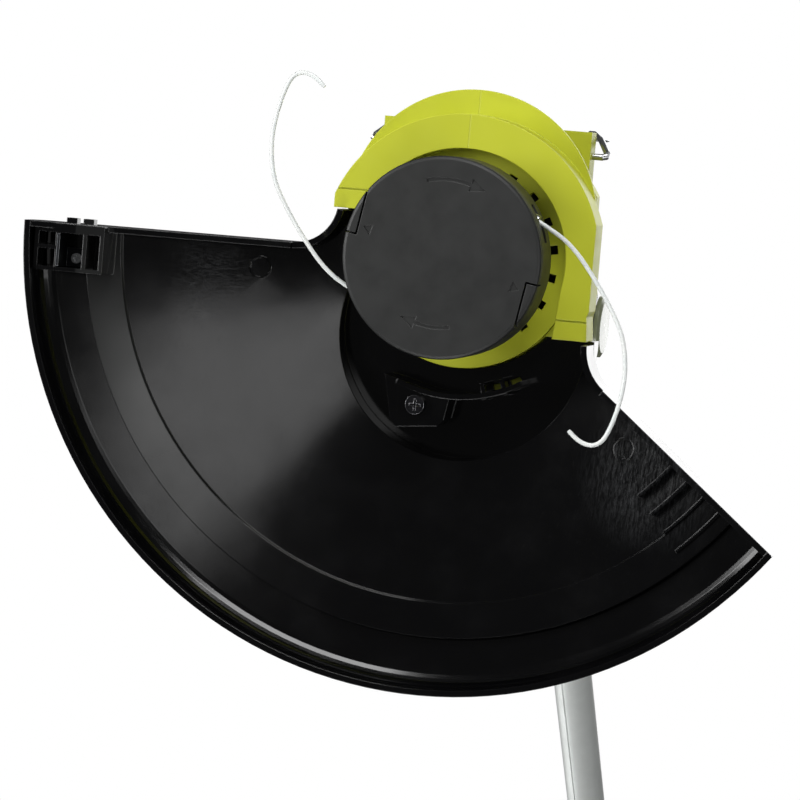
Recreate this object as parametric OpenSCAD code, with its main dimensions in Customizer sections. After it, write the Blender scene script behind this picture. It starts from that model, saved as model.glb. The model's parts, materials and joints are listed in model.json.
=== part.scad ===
// Corded string trimmer with a telescoping shaft, a tilting cutting head, a line guard and an edge wire.
// Origin: centre of the spool cap's outer face. +Z runs up the spool axis, -Y is the front.

/* [Line and spool] */
// Radius of the spool cap
cap_r = 45; // [40:0.5:47]
// Height of the spool cap's side wall
cap_h = 24; // [20:0.5:26]
// Wall thickness of the spool cap
cap_wall = 2.6; // [2:0.2:3.4]
// Diameter of the trimmer line
line_d = 2; // [1.4:0.1:2.4]
// Height of the line's exit above the cap's face
exit_z = 14; // [12:0.5:15]

/* [Hood and housing] */
// Height of the hood's lower face
hood_z = 38; // [36:0.5:42]
// Inner radius of the hood
hood_in_r = 49; // [48:0.5:52]
// Outer radius of the hood
hood_out_r = 64.5; // [62:0.5:68]
// Half of the width across the hood's flat sides
hood_half_w = 60; // [56:0.5:62]
// Height of the hood ring below the wide flange
hood_h = 17; // [14:0.5:20]
// Radius of the motor dome
dome_r = 46; // [45:0.5:50]
// Wall thickness of the housing
housing_wall = 3; // [2:0.2:4]
// Height of the dome's shoulder, where the neck starts
dome_top_z = 160; // [156:1:170]

/* [Motor] */
// Radius of the motor shaft
shaft_r = 4; // [3:0.1:5]
// Outer radius of the armature
armature_r = 25; // [20:0.5:26]
// Outer radius of the field stator
stator_r = 40; // [36:0.5:42]
// Height of the stack of laminations
stack_h = 38; // [30:1:42]

/* [Guard] */
// Outer radius of the guard's rim
guard_r = 195.5; // [160:0.5:235]
// Height of the guard's rim above the cap's face
guard_rim_z = 4; // [2:0.5:8]
// Wall thickness of the guard
guard_wall = 2.8; // [2:0.2:3.4]
// Angle of the guard's right end, from +X toward +Y
guard_start = 36.5; // [30:0.5:45]
// Radius of the fillet between the guard's skirt and its roof
guard_fillet = 12; // [8:1:16]
// Slope of the guard's roof, in degrees
guard_slope = 14.7; // [10:0.1:16]

/* [Shaft] */
// Distance of the tilt pivot behind the spool axis
pivot_y = 35; // [30:1:40]
// Height of the tilt pivot above the cap's face
pivot_z = 232; // [225:1:245]
// Angle between the shaft and the spool axis
shaft_lean = 45; // [35:1:55]
// Outer radius of the lower tube
tube_r = 11; // [9:0.5:12.5]
// Wall of the lower tube
tube_wall = 1.2; // [1:0.1:2]
// Outer radius of the upper tube
upper_r = 14.5; // [14:0.5:16]
// Distance from the tilt pivot to the length lock
bare_tube = 465; // [400:5:540]
// How far the lower tube slides into the upper tube
slide_travel = 200; // [120:5:220]
// Length of the upper tube
upper_len = 415; // [370:5:460]

/* [Handles] */
// Distance from the length lock to the auxiliary handle
aux_at = 255; // [200:5:270]
// Half of the width inside the auxiliary handle's loop
loop_half_w = 52; // [45:1:65]
// Height of the straight arms of the auxiliary handle's loop
loop_arm = 60; // [45:1:80]
// Radius of the auxiliary handle's bar
loop_r = 8; // [6:0.5:10]
// Length of the rear handle's grip
grip_len = 110; // [100:5:140]
// Radius of the grip
grip_r = 19; // [18:0.5:22]
// Radius of the hole for hanging the trimmer up
hang_r = 4; // [3:0.5:5]

/* [Edge wire] */
// Radius of the edge wire
wire_r = 1.5; // [1:0.1:2]
// Half of the width of the edge wire's loop
wire_half_w = 40; // [34:0.5:44]
// Length of the edge wire's straight arms
wire_arm = 40; // [25:1:60]

/* [Hidden] */
$fn = 96;
fit_gap = 0.05;   // radial clearance of a running fit
face_gap = 0.3;   // gap between faces that only pass each other
hull_fn = 32;     // facets of the shapes inside a hull

flange_z = hood_z + hood_h;
side_top = flange_z + 2;      // top of the hood's flat sides, where the shoulder starts
flange_front_r = 58.5;
flange_front_y = -17.5;
skirt_top = flange_z + 9;    // where the rear of the flange sits on the guard
rear_flange_h = 8;
rear_half_w = 56;
hood_left_y = -17.5;         // the hood's left end
hood_right_y = 33;           // the hood's right end
dome_low_z = 98;
dome_bend_z = 130;           // where the dome starts to narrow
dome_top_r = dome_r - 5;
cavity_step_r = stator_r + 0.4;  // the cavity narrows in two steps
cavity_step_h = 12;
base_r = 51;
base_z = flange_z - 3;
bearing_low_z = 62;
stack_z = 98;
bracket_z = 150;
cavity_r = dome_r - housing_wall;
knuckle_half = 14;
cheek_r = 25;
cheek_half = 28;
pin_r = 5;
drum_z = cap_h + 0.3;
drum_h = 33.5 - drum_z;
drum_r = cap_r - 3;
exit_a = -25;                // direction of the first line exit, from +X
roof_in_r = 186;             // where the roof's slope meets the fillet
fillet_r0 = guard_r - guard_fillet;
fillet_z0 = guard_rim_z + 8;
slope_t = tan(guard_slope);
tub_r = 58;
tub_y = 35;
tub_x = 2;
tub_floor_z = skirt_top - guard_wall - 0.2;
guard_screw = [-15.5, 69];
ridge_r = [156, 171.5];       // inner and outer radius of the guard's ridge
ridge_h = 3;
rib_h = 4.4;
rib_radii = [135, 145, 155.2, 165];
tube_start = 24;
sleeve_len = 64;
sleeve_r = 16;
upper_start = bare_tube + 16;
upper_end = upper_start + upper_len;
tube_end = upper_start + 110;
tube_in_r = tube_r - tube_wall;
upper_in_r = upper_r - 1.3;
lock_r = 21;
aux_w = bare_tube + aux_at;
aux_axis_y = -(upper_r + 14);
loop_foot = -28;             // where the loop's arms start, from its hinge
handle_w = upper_end - 32;
grip_w = handle_w + 46;
rear_w = grip_w + grip_len;
inlet_w = rear_w + 58;
trigger_axis = [15, grip_w + 6];
button_travel = 2.5;
wire_y = -50;
wire_z = 83;
ear_half_w = 49;
wire_out = ear_half_w + 7;

// The free line, from its exit on the right-hand side: points chosen along its loose curl.
line_route = [
    [39.6, -19.6, 14], [45.2, -16.6, 14], [51, -13.2, 14], [56.2, -9, 14], [60.6, -4.4, 13.8],
    [65, 1, 13.6], [69.4, 6.8, 13.4], [73.5, 12.8, 13.2], [77.4, 19, 13], [80.8, 25.4, 12.8],
    [83, 32.2, 12.6], [84.2, 39.6, 12.4], [84.4, 47, 12.2], [83.6, 54.6, 12], [82, 62, 11.8],
    [79.8, 69, 11.6], [77.2, 74, 11.4], [73.6, 76.4, 11.2], [69.6, 76.2, 11], [65.8, 74.4, 10.8],
    [61.8, 71, 10.6]
];

// ---------- shared shapes ----------

function roof_z(r) = fillet_z0 + (guard_fillet - guard_wall) * cos(guard_slope)
    + (fillet_r0 + (guard_fillet - guard_wall) * sin(guard_slope) - r) * slope_t;

module ring(r_out, r_in, h) {
    difference() {
        cylinder(r = r_out, h = h);
        translate([0, 0, -1]) cylinder(r = r_in, h = h + 2);
    }
}

module along_x(x0, x1, r, fn = 48) {
    translate([x0, 0, 0]) rotate([0, 90, 0]) cylinder(r = r, h = x1 - x0, $fn = fn);
}

// Places children on the shaft's axis, a distance w from the tilt pivot; local +Y is its underside.
module on_shaft(w = 0) {
    translate([0, pivot_y, pivot_z])
        rotate([-shaft_lean, 0, 0])
            translate([0, 0, w]) children();
}

module at_pivot() {
    translate([0, pivot_y, pivot_z]) children();
}

module half_space(side) {
    translate([side > 0 ? 0 : -200, -300, -100]) cube([200, 1600, 1600]);
}

function unit(v) = v / norm(v);

// A tube swept along a list of points, with a closed cap at each end.
module swept_line(points, r, sides = 8) {
    n = len(points);
    rings = [
        for (i = [0 : n - 1])
            let (
                t = unit(points[min(i + 1, n - 1)] - points[max(i - 1, 0)]),
                side = unit(cross([0, 0, 1], t)),
                top = cross(t, side)
            )
            for (k = [0 : sides - 1])
                points[i] + r * (cos(360 * k / sides) * side + sin(360 * k / sides) * top)
    ];
    walls = [
        for (i = [0 : n - 2], k = [0 : sides - 1])
            [i * sides + k, (i + 1) * sides + k,
             (i + 1) * sides + (k + 1) % sides, i * sides + (k + 1) % sides]
    ];
    first = [[for (k = [0 : sides - 1]) k]];
    last = [[for (k = [sides - 1 : -1 : 0]) (n - 1) * sides + k]];
    polyhedron(points = rings, faces = concat(walls, first, last));
}

// ---------- spool and line ----------

module arrow_arc(r, a0, a1) {
    translate([0, 0, -0.01]) {
        rotate_extrude(angle = a1 - a0, start = a0) translate([r, 0]) square([1.6, 0.45]);
        rotate([0, 0, a1]) linear_extrude(0.45)
            polygon([[r - 2.2, 0], [r + 3.8, 0], [r + 0.8, 7]]);
    }
}

module spool_cap() {
    color([0.2, 0.2, 0.2]) difference() {
        rotate_extrude() polygon([
            [0, 0], [cap_r - 1.6, 0], [cap_r - 0.5, 0.5], [cap_r, 1.6], [cap_r, 3],
            [cap_r - 0.5, 3.2], [cap_r - 0.5, 3.8], [cap_r, 4], [cap_r, cap_h],
            [cap_r - cap_wall, cap_h], [cap_r - cap_wall, cap_wall], [0, cap_wall]
        ]);
        for (turn = [0, 180]) rotate([0, 0, turn]) {
            // slot that the line lies in as it leaves
            rotate([0, 0, exit_a]) translate([cap_r - 9, -9, exit_z - 2.62]) cube([12, 18, 5.24]);
            // direction triangle
            translate([34, 9.8, -0.01]) linear_extrude(0.45)
                polygon([[-2.2, 2.2], [2.2, 1.2], [-0.8, -2.6]]);
            // latch recess with its two side slots
            rotate([0, 0, 10]) translate([cap_r - 5.5, 0, -1]) cube([0.9, 21, 6]);
            rotate([0, 0, 10]) translate([cap_r - 5.5, 0, -1]) cube([7, 0.8, 9]);
            rotate([0, 0, 10]) translate([cap_r - 5.5, 20.2, -1]) cube([7, 0.8, 9]);
        }
        arrow_arc(34, -105, -72);
        arrow_arc(30, 78, 108);
    }
}

module spool_drum() {
    color([0.12, 0.12, 0.13]) difference() {
        union() {
            translate([0, 0, drum_z]) cylinder(r = drum_r, h = drum_h);
            translate([0, 0, drum_z + drum_h]) cylinder(r = 14, h = 4);
            // fan blades on the drum's upper face
            for (i = [0 : 11]) rotate([0, 0, 30 * i])
                translate([17, -0.8, drum_z + drum_h]) cube([20, 1.6, 2.6]);
        }
        translate([0, 0, drum_z - 1]) cylinder(r = drum_r - 2, h = drum_h - 1.2);
        translate([0, 0, drum_z]) cylinder(r = 8.05, h = 40);
    }
}

module line_eyelets() {
    color([0.75, 0.76, 0.78]) for (turn = [0, 180]) rotate([0, 0, turn])
        translate([39.6, -19.6, exit_z]) rotate([0, 0, 22]) rotate([0, -90, 0])
            ring(2.6, line_d / 2 + 0.3, 6, $fn = 48);
}

module line_spool() {
    color([0.85, 0.35, 0.1]) difference() {
        union() {
            translate([0, 0, 6]) cylinder(r = 12, h = 21);
            translate([0, 0, 6]) cylinder(r = 33, h = 1.6);
            translate([0, 0, 16]) cylinder(r = 33, h = 1.6);
            translate([0, 0, 25.4]) cylinder(r = 33, h = 1.6);
        }
        translate([0, 0, 5]) cylinder(r = 9, h = 30);
    }
}

module wound_line() {
    color([0.95, 0.95, 0.92]) {
        translate([0, 0, 7.7]) ring(29, 12.1, 8.2);
        translate([0, 0, 17.7]) ring(29, 12.1, 7.6);
    }
}

module feed_spring() {
    color([0.7, 0.7, 0.72]) translate([0, 0, cap_wall + 0.1]) for (i = [0 : 5])
        translate([0, 0, 2.7 * i]) rotate_extrude() translate([7.4, 0.8]) circle(r = 0.75, $fn = 16);
}

module line_end_a() {
    color([0.95, 0.97, 0.96]) swept_line(line_route, line_d / 2);
}

module line_end_b() {
    color([0.95, 0.97, 0.96]) rotate([0, 0, 180]) swept_line(line_route, line_d / 2);
}

// ---------- motor ----------

module drive_hub() {
    color([0.55, 0.55, 0.58]) difference() {
        union() {
            translate([0, 0, 21]) cylinder(r = 8, h = 20);
            translate([0, 0, 38]) cylinder(r = 13.5, h = 4);
        }
        translate([0, 0, 24]) cylinder(r = shaft_r, h = 30);
    }
}

module motor_shaft() {
    color([0.75, 0.76, 0.78]) translate([0, 0, 24]) cylinder(r = shaft_r, h = bracket_z + 20 - 24);
}

module armature() {
    color([0.45, 0.42, 0.4]) difference() {
        union() {
            translate([0, 0, stack_z]) cylinder(r = armature_r, h = stack_h);
            translate([0, 0, stack_z - 5]) cylinder(r = armature_r - 6, h = stack_h + 9);
        }
        translate([0, 0, stack_z - 6]) cylinder(r = shaft_r, h = stack_h + 20);
        for (i = [0 : 11]) rotate([0, 0, 30 * i])
            translate([armature_r - 1.5, -1, stack_z - 1]) cube([4, 2, stack_h + 2]);
    }
}

module commutator() {
    color([0.72, 0.45, 0.25]) difference() {
        translate([0, 0, 140.2]) cylinder(r = 10, h = 9);
        translate([0, 0, 139]) cylinder(r = shaft_r, h = 12);
        for (i = [0 : 11]) rotate([0, 0, 30 * i])
            translate([9, -0.25, 139]) cube([3, 0.5, 12]);
    }
}

module cooling_fan() {
    color([0.15, 0.15, 0.16]) difference() {
        union() {
            translate([0, 0, 76]) cylinder(r = 10, h = 14);
            translate([0, 0, 76]) cylinder(r = 39, h = 2);
            for (i = [0 : 10]) rotate([0, 0, 360 / 11 * i])
                translate([8, -0.8, 77]) cube([30, 1.6, 11]);
        }
        translate([0, 0, 75]) cylinder(r = shaft_r, h = 20);
    }
}

module motor_stator() {
    color([0.5, 0.5, 0.52]) difference() {
        union() {
            translate([0, 0, stack_z]) cylinder(r = stator_r, h = stack_h);
            for (a = [0, 180]) rotate([0, 0, a]) intersection() {
                translate([0, 0, stack_z - 4]) cylinder(r = stator_r - 2, h = stack_h + 7.5);
                translate([12, -24, 0]) cube([30, 48, 200]);
            }
        }
        translate([0, 0, stack_z - 10]) cylinder(r = armature_r + 0.8, h = stack_h + 30);
        for (a = [90, 270]) rotate([0, 0, a])
            translate([armature_r + 5, -14, stack_z - 1]) cube([5, 28, stack_h + 2]);
    }
}

module motor_bracket() {
    color([0.16, 0.16, 0.17]) difference() {
        union() {
            translate([0, 0, bracket_z]) cylinder(r = 35.5, h = 3);
            translate([0, 0, bracket_z]) cylinder(r = 12, h = 15);
            for (s = [-1, 1]) translate([s * 31 - 3, -6, stack_z + stack_h + 4])
                cube([6, 12, bracket_z - stack_z - stack_h - 3]);
            for (s = [-1, 1]) translate([-5, s * 22 - 8, 141]) cube([10, 16, bracket_z - 140]);
        }
        translate([0, 0, bracket_z + 4]) cylinder(r = 8, h = 20);
        translate([0, 0, bracket_z - 10]) cylinder(r = shaft_r + 1, h = 30);
        for (s = [-1, 1]) translate([-3.05, s * 22 - 9, 142.95]) cube([6.1, 18, 5.1]);
    }
}

module carbon_brushes() {
    color([0.1, 0.1, 0.1]) for (s = [-1, 1])
        translate([-3, s > 0 ? 10.3 : -26.3, 143]) cube([6, 16, 5]);
}

module lower_bearing() {
    color([0.8, 0.8, 0.82]) translate([0, 0, bearing_low_z]) ring(11, shaft_r + fit_gap, 8);
}

module upper_bearing() {
    color([0.8, 0.8, 0.82]) translate([0, 0, bracket_z + 5]) ring(8, shaft_r + fit_gap, 7);
}

module base_plate() {
    color([0.72, 0.77, 0.2]) difference() {
        union() {
            translate([0, 0, base_z]) cylinder(r = base_r, h = skirt_top - base_z);
            translate([0, 0, base_z]) cylinder(r = 15, h = bearing_low_z + 8 - base_z);
        }
        translate([0, 0, base_z + 3]) ring(base_r - 2.5, 15, 20);
        translate([0, 0, base_z - 1]) cylinder(r = 9, h = 30);
        translate([0, 0, bearing_low_z]) cylinder(r = 11, h = 10);
        for (i = [0 : 19]) rotate([0, 0, 18 * i + 9]) {
            translate([34, -2, base_z - 1]) cube([9, 4, 6]);
            translate([34, 0, base_z - 1]) cylinder(r = 2, h = 6, $fn = 24);
        }
    }
}

// ---------- housing ----------

module hood_outline() {
    difference() {
        intersection() {
            union() {
                circle(r = hood_out_r);
                polygon([
                    [0, -20], [hood_half_w - 1, -20], [hood_half_w - 1, 0],
                    [hood_half_w + 1.5, hood_right_y], [0, hood_right_y]
                ]);
            }
            translate([-hood_half_w, -80]) square([2 * hood_half_w + 1.5, 80 + hood_right_y]);
        }
        circle(r = hood_in_r);
        translate([-100, hood_left_y]) square([100, 100]);
        // the right arm's inner edge runs straight back
        polygon([[0, 0], [hood_in_r - 0.1, 0], [hood_in_r - 3.4, hood_right_y + 1], [0, 80]]);
    }
}

module front_outline() {
    intersection() {
        union() {
            translate([0, flange_front_y]) circle(r = flange_front_r);
            translate([-hood_half_w, flange_front_y])
                square([2 * hood_half_w, hood_right_y - flange_front_y]);
        }
        translate([-hood_half_w, -100]) square([2 * hood_half_w, 200]);
    }
}

module rear_outline() {
    intersection() {
        union() {
            circle(r = hood_out_r);
            translate(guard_screw) circle(r = 7.5);
        }
        translate([-rear_half_w, -40]) square([2 * rear_half_w, 140]);
    }
}

module front_only() {
    difference() {
        front_outline();
        translate([-100, hood_left_y]) square([100, 200]);
        translate([0, hood_right_y]) square([100, 200]);
    }
}

module housing_shell() {
    difference() {
        union() {
            translate([0, 0, hood_z]) linear_extrude(hood_h) hood_outline();
            translate([0, 0, flange_z]) linear_extrude(side_top - flange_z) front_only();
            translate([0, 0, skirt_top]) linear_extrude(rear_flange_h) rear_outline();
            // shoulder between the flange and the motor dome
            hull() {
                translate([0, 0, side_top - 1]) linear_extrude(1) front_outline($fn = 64);
                translate([0, -1, dome_low_z]) cylinder(r = dome_r - 0.5, h = 1, $fn = 64);
            }
            rotate_extrude() polygon([
                [0, dome_low_z - 4], [dome_r, dome_low_z - 4], [dome_r, dome_bend_z],
                [dome_top_r, dome_top_z], [0, dome_top_z]
            ]);
            // neck that leans back to the tilt pivot
            hull() {
                translate([0, 0, dome_top_z - 1]) cylinder(r = dome_top_r, h = 1, $fn = 64);
                translate([0, 3, dome_top_z + 14]) cylinder(r = dome_top_r - 5, h = 1, $fn = 64);
                at_pivot() along_x(-cheek_half, cheek_half, cheek_r, 64);
            }
            // ears for the edge wire
            for (s = [-1, 1]) hull() {
                translate([s * 42 - 7, wire_y - 11, wire_z - 6]) cube([14, 23, 12]);
                translate([s * 38 - 6, wire_y, wire_z + 14]) cube([12, 16, 6]);
            }
        }
        // inside of the flange, the dome and the neck
        translate([0, 0, flange_z - 5]) cylinder(r = base_r + 0.2, h = skirt_top - flange_z + 5.2);
        translate([0, 0, skirt_top - 1]) cylinder(r = cavity_r, h = dome_bend_z - skirt_top + 1);
        translate([0, 0, dome_bend_z - 1]) cylinder(r = cavity_step_r, h = cavity_step_h + 2);
        translate([0, 0, dome_bend_z + cavity_step_h])
            cylinder(r = dome_top_r - housing_wall, h = dome_top_z - dome_bend_z - cavity_step_h);
        hull() {
            translate([0, 0, dome_top_z - 2])
                cylinder(r = dome_top_r - housing_wall - 0.5, h = 1, $fn = 48);
            translate([0, 3, dome_top_z + 11])
                cylinder(r = dome_top_r - housing_wall - 6, h = 1, $fn = 48);
            translate([0, pivot_y - 14, pivot_z - 48]) along_x(-16, 16, 8, 32);
        }
        // room for the guard's seat behind the hood's ends
        translate([-100, hood_left_y, flange_z - 1]) cube([100, 200, skirt_top - flange_z + 1]);
        translate([-1, hood_right_y, flange_z - 1]) cube([101, 200, skirt_top - flange_z + 1]);
        // flats under the pivot's button and under its cap
        at_pivot() along_x(cheek_half, cheek_half + 40, 17.5);
        at_pivot() along_x(-cheek_half - 40, -cheek_half, 17.5);
        // slot for the knuckle between the two cheeks
        at_pivot() along_x(-knuckle_half - face_gap, knuckle_half + face_gap, cheek_r + 2.4, 96);
        // pivot pin and button bores
        at_pivot() along_x(-cheek_half + 2, cheek_half, pin_r + 0.02);
        at_pivot() along_x(knuckle_half + 4, cheek_half + 1, 9.1);
        // edge wire bores
        translate([0, wire_y, wire_z]) along_x(-ear_half_w - 1, -ear_half_w + 12, wire_r + fit_gap);
        translate([0, wire_y, wire_z]) along_x(ear_half_w - 12, ear_half_w + 1, wire_r + fit_gap);
        for (p = housing_screw_places) translate([0, p[0], p[1]]) {
            along_x(-80, p[2], 3.8);
            along_x(p[2] - 1, 12.5, 1.85, 32);
        }
        // guard screw
        translate([guard_screw[0], guard_screw[1], skirt_top - 1]) cylinder(r = 2, h = 14, $fn = 32);
        // air slots at the back and the sides of the dome
        for (a = [50, 70, 110, 130, 200, 340]) for (i = [0 : 3]) rotate([0, 0, a])
            translate([dome_r - 8, -5, 102 + 7 * i]) cube([14, 10, 3]);
        // shut lines across the hood's ends
        translate([-hood_half_w - 1, hood_left_y - 9, hood_z - 0.5]) cube([30, 0.7, 1]);
        translate([40, hood_right_y - 9, hood_z - 0.5]) cube([30, 0.7, 1]);
    }
}

// Each housing screw: distance back, height, and the place of the underside of its head.
housing_screw_places = [[-62, 66, -22], [57, 68, -24], [-46, 84, -20], [26, 198, -24]];

module housing_left() {
    color([0.72, 0.77, 0.2]) intersection() {
        housing_shell();
        half_space(-1);
    }
}

module housing_right() {
    color([0.72, 0.77, 0.2]) intersection() {
        housing_shell();
        half_space(1);
    }
}

module cross_screw(x, length, r, head_r, head_h) {
    difference() {
        union() {
            along_x(x, x + length, r, 32);
            along_x(x - head_h, x, head_r, 32);
        }
        for (a = [0, 90]) rotate([a, 0, 0])
            translate([x - head_h - 1, -head_r * 0.7, -0.5]) cube([2.4, head_r * 1.4, 1]);
    }
}

module housing_screws() {
    color([0.7, 0.71, 0.73]) for (p = housing_screw_places)
        translate([0, p[0], p[1]]) cross_screw(p[2], 12 - p[2], 1.8, 3.5, 2.4);
}

// ---------- guard ----------

module guard_section() {
    a_end = 90 - guard_slope;
    top_r = fillet_r0 + guard_fillet * cos(a_end);
    top_z = fillet_z0 + guard_fillet * sin(a_end);
    low = guard_fillet - guard_wall;
    polygon(concat(
        [[guard_r, guard_rim_z]],
        [for (i = [0 : 6]) [fillet_r0 + guard_fillet * cos(a_end * i / 6),
                            fillet_z0 + guard_fillet * sin(a_end * i / 6)]],
        [[40, top_z + (top_r - 40) * slope_t], [40, roof_z(40)]],
        // ridge that stiffens the roof
        [[ridge_r[0], roof_z(ridge_r[0])], [ridge_r[0], roof_z(ridge_r[0]) - ridge_h],
         [ridge_r[1], roof_z(ridge_r[1]) - ridge_h], [ridge_r[1], roof_z(ridge_r[1])]],
        [for (i = [6 : -1 : 0]) [fillet_r0 + low * cos(a_end * i / 6),
                                 fillet_z0 + low * sin(a_end * i / 6)]],
        [[guard_r - guard_wall, guard_rim_z]]
    ));
}

// Plan of the guard: the swept sector and the two rounded flanks beside the hood.
module guard_plan() {
    c = cos(guard_start);
    s = sin(guard_start);
    difference() {
        union() {
            polygon([[0, 0], [400 * c, 400 * s], [400 * c, 400], [-400, 400], [-400, 0]]);
            polygon([[-77, 1], [-77, hood_left_y + face_gap], [-30, hood_left_y + face_gap], [-30, 1]]);
            polygon([[20, hood_right_y], [87, hood_right_y], [72.7, 53.8], [20, 40]]);
        }
        translate([-77, -20]) circle(r = 20);
        translate([87, 34.5]) circle(r = 24);
        translate([0, -100]) square([100, 100 + hood_right_y + face_gap]);
    }
}

// A wall along one end of the guard; on the left end it lies on the other side of its line.
module end_wall(inner_r, flip) {
    translate([0, flip ? 0 : guard_wall, 0]) rotate([90, 0, 0])
        linear_extrude(guard_wall) polygon([
            [guard_r - 0.4, guard_rim_z], [guard_r - 0.4, fillet_z0], [guard_r - 5, fillet_z0 + 8],
            [inner_r, roof_z(inner_r) + 1], [inner_r, roof_z(inner_r) - 18]
        ]);
}

module on_roof(a, r) {
    rotate([0, 0, a]) translate([r, 0, roof_z(r)]) rotate([0, guard_slope, 0]) children();
}

module guard_shell() {
    intersection() {
        union() {
            rotate_extrude() guard_section();
            intersection() {
                translate([tub_x, tub_y, 40]) ring(tub_r + guard_wall, tub_r, skirt_top - 40.2);
                rotate_extrude() polygon([
                    [0, roof_z(0)], [guard_r, roof_z(guard_r)], [guard_r, 90], [0, 90]
                ]);
            }
        }
        translate([0, 0, -1]) linear_extrude(120) guard_plan();
    }
}

module tub_floor() {
    translate([0, 0, tub_floor_z]) linear_extrude(guard_wall) difference() {
        intersection() {
            translate([tub_x, tub_y]) circle(r = tub_r + 1);
            guard_plan();
        }
        circle(r = base_r + 0.6);
        // gaps beside the hooks
        for (a = [64, 72]) rotate([0, 0, a]) translate([59.8, -2.6]) square([2.6, 5.2]);
    }
}

module cutter_box() {
    difference() {
        translate([-191, 0.5, guard_rim_z + 3]) cube([33, 21.5, 19]);
        translate([-189, 4.6, 0]) cube([8, 5.8, 20]);
        translate([-189, 12.2, 0]) cube([8, 8, 20]);
        translate([-179, 4.6, 0]) cube([11, 15.6, 20]);
        translate([-166, 4.6, 0]) cube([6, 15.6, 20]);
        translate([-180.25, 4.6, 0]) cube([1.3, 15.6, 20.05]);
    }
}

module guard() {
    color([0.05, 0.05, 0.055]) difference() {
        union() {
            difference() {
                guard_shell();
                translate([tub_x, tub_y, 30]) cylinder(r = tub_r, h = 60);
            }
            tub_floor();
            // end walls and the rounded walls that meet the hood
            rotate([0, 0, guard_start]) translate([0, -face_gap, 0]) end_wall(90, false);
            rotate([0, 0, 180]) end_wall(77, true);
            translate([-77, -20, 0]) rotate_extrude(angle = 81, start = 9)
                translate([20, 34]) square([guard_wall, 18]);
            translate([87, 34.5, 0]) rotate_extrude(angle = 53, start = 127)
                translate([24, 32]) square([guard_wall, 18]);
            // short ribs near the right end
            for (r = rib_radii) rotate_extrude(angle = 10, start = guard_start + 0.5)
                translate([r - 0.6, roof_z(r) - rib_h]) square([1.2, rib_h + 1]);
            // collar wall round the spool
            rotate_extrude(angle = 54, start = 59)
                translate([62.6, 42]) square([2.4, tub_floor_z - 41.5]);
            // screw seat
            translate([0, 0, 44]) linear_extrude(tub_floor_z - 43.5)
                polygon([[-31, 56.5], [-27, 77], [-24, 80], [-5, 78], [-2, 75], [0, 64]]);
            // hooks that catch on the flange
            for (a = [68, 77]) rotate([0, 0, a]) translate([58, -1, 50]) cube([8, 2, 12]);
            cutter_box();
            // studs on the left end's outer face
            for (x = [-178, -170]) translate([x, -2.4, 12]) cube([5, 3, 5]);
        }
        translate([guard_screw[0], guard_screw[1], 40]) cylinder(r = 2.1, h = 30, $fn = 32);
        translate([-174, 16, 15]) cylinder(r = 1.25, h = 12, $fn = 32);
        translate([0, 0, 40]) cylinder(r = base_r + 0.6, h = 40);
        // ejector marks
        for (p = [[172, 95], [126, 162], [100, 163], [44, 114]]) on_roof(p[0], p[1])
            translate([0, 0, -1]) ring(5, 4.5, 1.25, $fn = 48);
    }
}

module up_screw(r, length, head_r, head_h) {
    difference() {
        union() {
            cylinder(r = r, h = length, $fn = 32);
            translate([0, 0, -head_h]) cylinder(r = head_r, h = head_h, $fn = 48);
        }
        for (a = [0, 90]) rotate([0, 0, a])
            translate([-head_r * 0.6, -0.5, -head_h - 1]) cube([head_r * 1.2, 1, 2.2]);
    }
}

module guard_screw_m4() {
    color([0.72, 0.73, 0.75]) translate([guard_screw[0], guard_screw[1], 44])
        up_screw(2, 30, 4.4, 2.6);
}

module line_cutter() {
    color([0.8, 0.81, 0.83]) difference() {
        union() {
            translate([-180.2, 5, guard_rim_z + 3]) cube([1.2, 14.8, 13]);
            translate([-179.5, 11.4, 18.8]) cube([9.5, 8.4, 1.2]);
        }
        translate([-174, 16, 10]) cylinder(r = 1.3, h = 20, $fn = 32);
    }
}

module cutter_screw() {
    color([0.7, 0.71, 0.73]) translate([-174, 16, 18.8]) up_screw(1.2, 5, 2.4, 1.6);
}

// ---------- tilt pivot ----------

module pivot_pin() {
    color([0.7, 0.71, 0.73]) at_pivot() along_x(-cheek_half + 2, knuckle_half + 4, pin_r);
}

module pivot_ring() {
    color([0.22, 0.32, 0.1]) at_pivot() difference() {
        union() {
            along_x(cheek_half, cheek_half + 2.4, 15.2);
            for (i = [0 : 23]) rotate([15 * i, 0, 0])
                translate([cheek_half, 14.6, -1]) cube([2.4, 1.4, 2]);
        }
        along_x(cheek_half - 1, cheek_half + 3, 11);
    }
}

module pivot_button() {
    color([0.62, 0.64, 0.62]) at_pivot() difference() {
        union() {
            translate([cheek_half + 2.4 + button_travel + 0.3, 0, 0]) rotate([0, 90, 0])
                rotate_extrude() polygon([[0, 0], [15.6, 0], [15.6, 2], [13.4, 3.2], [0, 3.4]]);
            along_x(knuckle_half + 7.5, cheek_half + 6, 9);
        }
        along_x(knuckle_half + 7, knuckle_half + 13, 6.4);
    }
}

module button_spring() {
    color([0.7, 0.7, 0.72]) at_pivot() for (i = [0 : 4])
        translate([knuckle_half + 4.8 + 1.9 * i, 0, 0]) rotate([0, 90, 0])
            rotate_extrude() translate([5.4, 0]) circle(r = 0.6, $fn = 16);
}

// ---------- edge wire ----------

// Half of the edge wire's route, from its ear to the top of its loop.
function wire_side(s) = concat(
    [[s * (wire_out - 3), 0, 0], [s * (wire_out - 0.8), -0.4, 0.8], [s * (wire_out - 1), -2, 4],
     [s * (wire_out - 6), -8, 14], [s * (wire_half_w + 6), -10.4, 22],
     [s * (wire_half_w + 1.6), -10.6, 32], [s * wire_half_w, -9, 44]],
    [for (i = [0 : 7]) [s * wire_half_w * cos(11.25 * i), -9,
                        44 + wire_arm + wire_half_w * sin(11.25 * i)]]
);

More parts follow.
